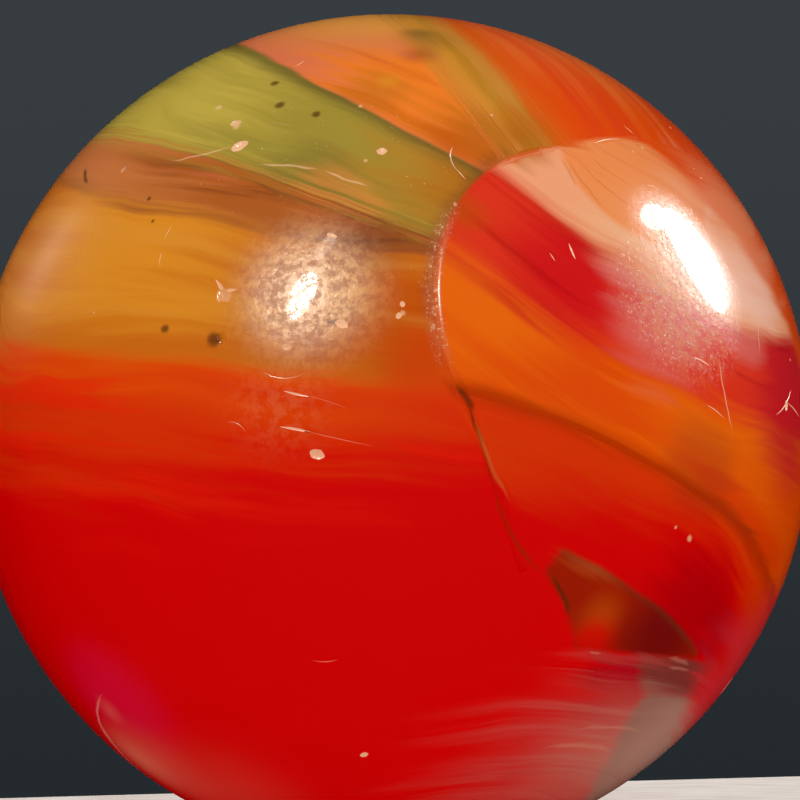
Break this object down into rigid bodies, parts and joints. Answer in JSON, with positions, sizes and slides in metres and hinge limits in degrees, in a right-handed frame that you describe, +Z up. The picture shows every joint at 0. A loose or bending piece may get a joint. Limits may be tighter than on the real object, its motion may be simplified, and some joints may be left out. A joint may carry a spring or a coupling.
{
  "type": "glass marble",
  "caption": "Solid ball of swirled red, orange and olive glass that rolls freely, for marble games, runs and tracks.",
  "frame": {"origin": "centre of the ball", "axes": "+Z up; -Y towards the side with the fold crease; the crease bulges towards -X"},
  "size_m": [0.016, 0.016, 0.016],
  "materials": {
    "swirled_glass": "glossy opaque glass with swirled bands, a closed fold crease, small chips and fine scratches"
  },
  "bodies": {
    "root": {"marble": "swirled_glass"}
  },
  "joints": []
}
